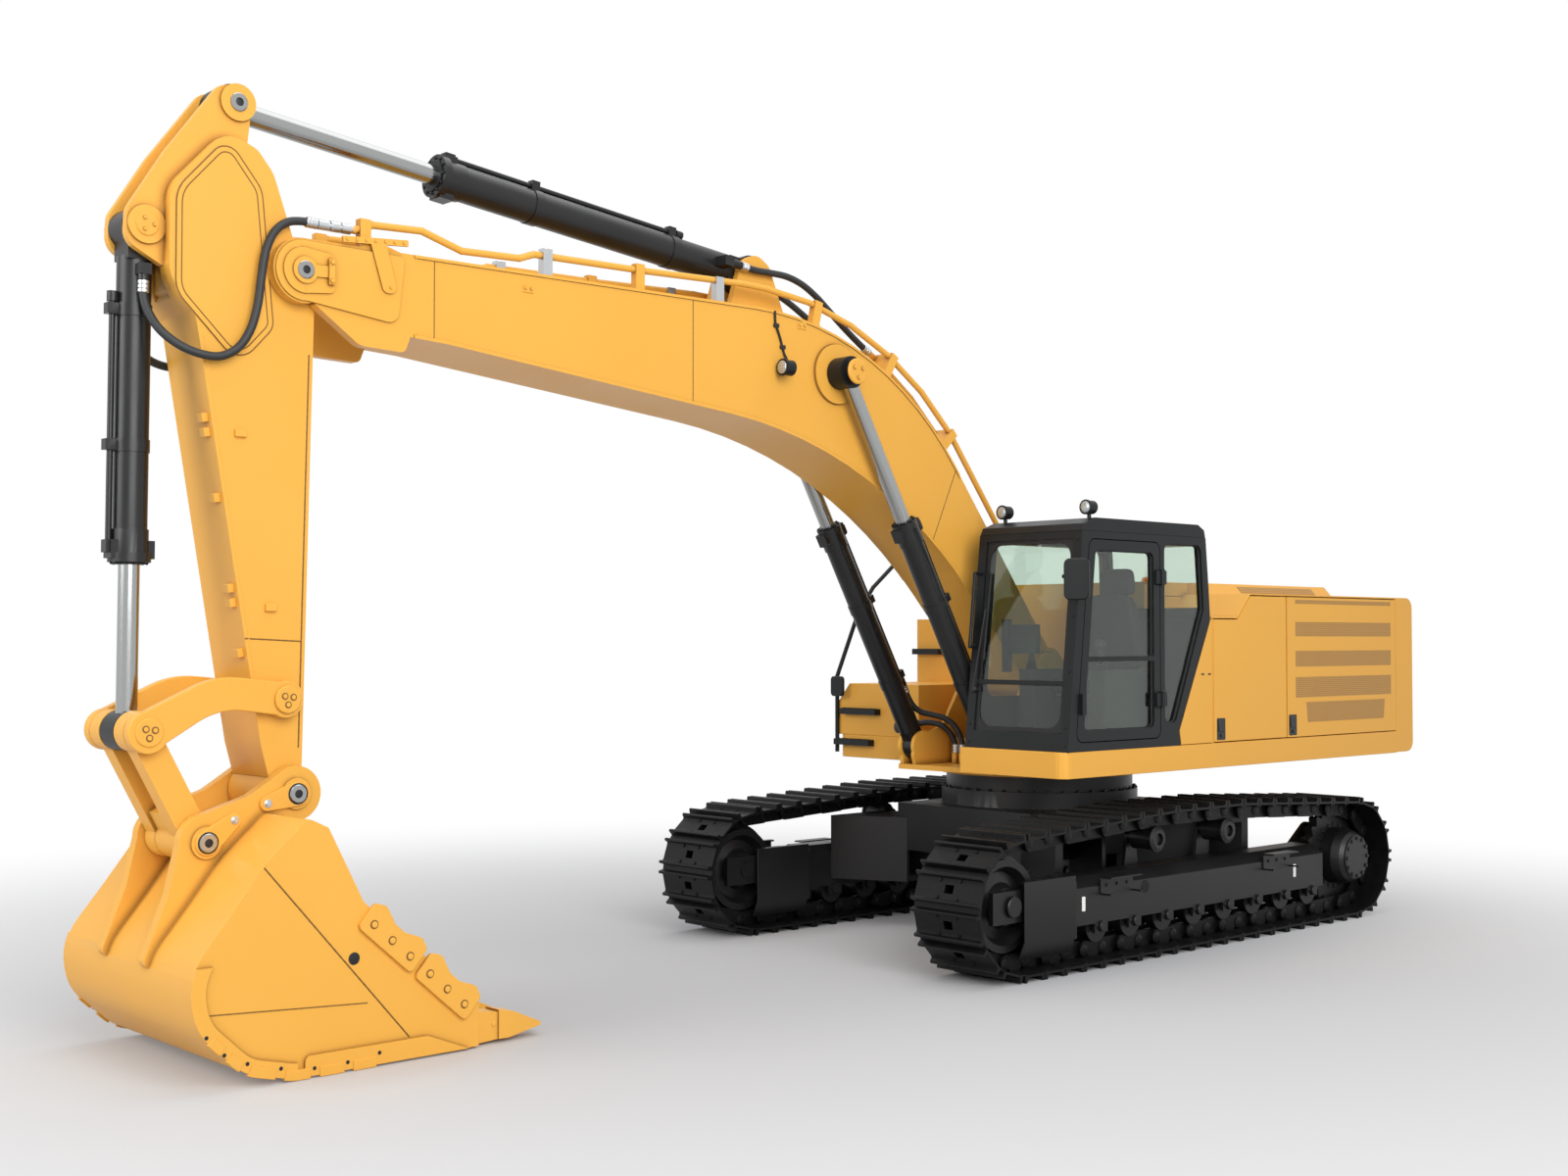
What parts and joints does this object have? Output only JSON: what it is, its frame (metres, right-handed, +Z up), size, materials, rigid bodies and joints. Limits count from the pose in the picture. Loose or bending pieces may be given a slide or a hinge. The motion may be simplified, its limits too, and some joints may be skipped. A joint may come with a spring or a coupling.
{
  "type": "crawler excavator",
  "caption": "Tracked digging machine: a turning house with cab and counterweight on a track base, with boom, stick and bucket moved by hydraulic cylinders.",
  "frame": {"origin": "on the ground, on the swing axis", "axes": "+X forward along the boom, +Y to the cab side (left), +Z up"},
  "size_m": [11.5584, 3.34, 5.468],
  "materials": {
    "machine_yellow": "semi-gloss enamel",
    "frame_black": "satin black paint",
    "track_steel": "dark painted steel",
    "engine_iron": "painted casting",
    "trim_black": "satin black",
    "cab_black": "satin black",
    "cab_glass": "clear tinted",
    "cab_trim": "matte",
    "seat_fabric": "woven",
    "cylinder_black": "satin black paint",
    "rod_chrome": "polished",
    "hose_rubber": "matte"
  },
  "bodies": {
    "undercarriage": {"carbody": "frame_black", "swing_bearing": "frame_black", "track_frames": "frame_black", "track_left": "track_steel", "track_right": "track_steel", "track_rollers": "frame_black", "idlers": "frame_black", "sprockets": "frame_black", "final_drives": "frame_black"},
    "house": {"main_frame": "machine_yellow", "deck": "machine_yellow", "counterweight": "machine_yellow", "engine_block": "engine_iron", "house_panels": "machine_yellow", "fuel_tank": "machine_yellow", "hydraulic_tank": "machine_yellow", "tool_box": "machine_yellow", "handrails": "trim_black", "mirrors": "trim_black", "cab_shell": "cab_black", "cab_roof": "cab_black", "cab_glass": "cab_glass", "operator_seat": "seat_fabric", "cab_controls": "cab_trim", "work_lamps": "trim_black", "left_lower_boom_hose": "hose_rubber", "right_lower_boom_hose": "hose_rubber", "left_upper_boom_hose": "hose_rubber", "right_upper_boom_hose": "hose_rubber"},
    "hood": {"engine_hood": "machine_yellow"},
    "cab_door": {"cab_door": "cab_black", "cab_door_glass": "cab_glass"},
    "left_front_door": {"left_front_door": "machine_yellow"},
    "left_rear_door": {"left_rear_door": "machine_yellow"},
    "right_rear_door": {"right_rear_door": "machine_yellow"},
    "boom": {"boom": "machine_yellow", "boom_lines": "machine_yellow", "boom_lamp": "trim_black", "left_bucket_hose": "hose_rubber", "right_bucket_hose": "hose_rubber", "left_stick_hose": "hose_rubber", "right_stick_hose": "hose_rubber"},
    "boom_barrels": {"boom_cylinder_barrels": "cylinder_black"},
    "boom_rods": {"boom_cylinder_rods": "rod_chrome"},
    "stick_barrel": {"stick_cylinder_barrel": "cylinder_black"},
    "stick_rod": {"stick_cylinder_rod": "rod_chrome"},
    "stick": {"stick": "machine_yellow"},
    "bucket_barrel": {"bucket_cylinder_barrel": "cylinder_black"},
    "bucket_rod": {"bucket_cylinder_rod": "rod_chrome"},
    "side_links": {"side_links": "machine_yellow"},
    "power_link": {"power_link": "machine_yellow"},
    "bucket": {"bucket": "machine_yellow", "bucket_teeth": "machine_yellow", "side_cutters": "machine_yellow"}
  },
  "joints": [
    {"name": "swing", "type": "hinge", "parent": "undercarriage", "child": "house", "pos_m": [0, 0, 1.25], "axis": [0, 0, 1], "continuous": true},
    {"name": "boom_lift", "type": "hinge", "parent": "house", "child": "boom", "pos_m": [0.33, 0, 2.075], "axis": [0, -1, 0], "range_deg": [-60, 36]},
    {"name": "stick_in", "type": "hinge", "parent": "boom", "child": "stick", "pos_m": [6.841, 0, 4.425], "axis": [0, 1, 0], "range_deg": [-72, 40], "deforming": ["left_bucket_hose", "right_bucket_hose"]},
    {"name": "bucket_dump", "type": "hinge", "parent": "stick", "child": "bucket", "pos_m": [6.868, 0, 1.468], "axis": [0, -1, 0], "range_deg": [-90, 76]},
    {"name": "boom_barrel_turn", "type": "hinge", "parent": "house", "child": "boom_barrels", "pos_m": [1.05, 0, 1.48], "axis": [0, -1, 0], "range_deg": [-60.65, 36.41], "deforming": ["left_lower_boom_hose", "right_lower_boom_hose", "left_upper_boom_hose", "right_upper_boom_hose"]},
    {"name": "boom_rod_slide", "type": "slide", "parent": "boom_barrels", "child": "boom_rods", "axis": [0.4961, 0, 0.8682], "range_m": [-0.8712, 0.5235]},
    {"name": "stick_barrel_turn", "type": "hinge", "parent": "boom", "child": "stick_barrel", "pos_m": [3.27, 0, 4.92], "axis": [0, -1, 0], "range_deg": [-1.85, 3.29], "deforming": ["left_stick_hose", "right_stick_hose"]},
    {"name": "stick_rod_slide", "type": "slide", "parent": "stick_barrel", "child": "stick_rod", "axis": [0.994, 0, 0.1095], "range_m": [-1.0827, 0.6024]},
    {"name": "side_link_turn", "type": "hinge", "parent": "stick", "child": "side_links", "pos_m": [6.922, 0, 1.997], "axis": [0, -1, 0], "range_deg": [-60.08, 50.74]},
    {"name": "power_link_turn", "type": "hinge", "parent": "bucket", "child": "power_link", "pos_m": [7.397, 0, 1.232], "axis": [0, -1, 0], "range_deg": [-59.03, 69.89]},
    {"name": "bucket_barrel_turn", "type": "hinge", "parent": "stick", "child": "bucket_barrel", "pos_m": [7.695, 0, 4.582], "axis": [0, -1, 0], "range_deg": [-4.1, 3.47]},
    {"name": "bucket_rod_slide", "type": "slide", "parent": "bucket_barrel", "child": "bucket_rod", "axis": [0.0077, 0, -1], "range_m": [-0.6387, 0.756]},
    {"name": "cab_door_swing", "type": "hinge", "parent": "house", "child": "cab_door", "pos_m": [0.381, 1.519, 2.3], "axis": [0, 0, 1], "range_deg": [0, 165]},
    {"name": "left_front_door_swing", "type": "hinge", "parent": "house", "child": "left_front_door", "pos_m": [-1.342, 1.495, 2.1], "axis": [0, 0, 1], "range_deg": [0, 95]},
    {"name": "left_rear_door_swing", "type": "hinge", "parent": "house", "child": "left_rear_door", "pos_m": [-3.092, 1.495, 2.1], "axis": [0, 0, 1], "range_deg": [0, 95]},
    {"name": "right_rear_door_swing", "type": "hinge", "parent": "house", "child": "right_rear_door", "pos_m": [-3.092, -1.495, 2.1], "axis": [0, 0, -1], "range_deg": [0, 95]},
    {"name": "hood_lift", "type": "hinge", "parent": "house", "child": "hood", "pos_m": [-0.896, 0, 2.806], "axis": [0, 1, 0], "range_deg": [0, 55]}
  ],
  "couplings": [
    {"joint": "boom_barrel_turn", "follows": "boom_lift", "ratio": 1.01},
    {"joint": "boom_rod_slide", "follows": "boom_lift", "m_per_rad": 0.83},
    {"joint": "stick_barrel_turn", "follows": "stick_in", "ratio": -0.045},
    {"joint": "stick_rod_slide", "follows": "stick_in", "m_per_rad": 0.86},
    {"joint": "side_link_turn", "follows": "bucket_dump", "ratio": 0.667},
    {"joint": "power_link_turn", "follows": "bucket_dump", "ratio": -0.776},
    {"joint": "bucket_barrel_turn", "follows": "bucket_dump", "ratio": 0.045},
    {"joint": "bucket_rod_slide", "follows": "bucket_dump", "m_per_rad": -0.48}
  ]
}
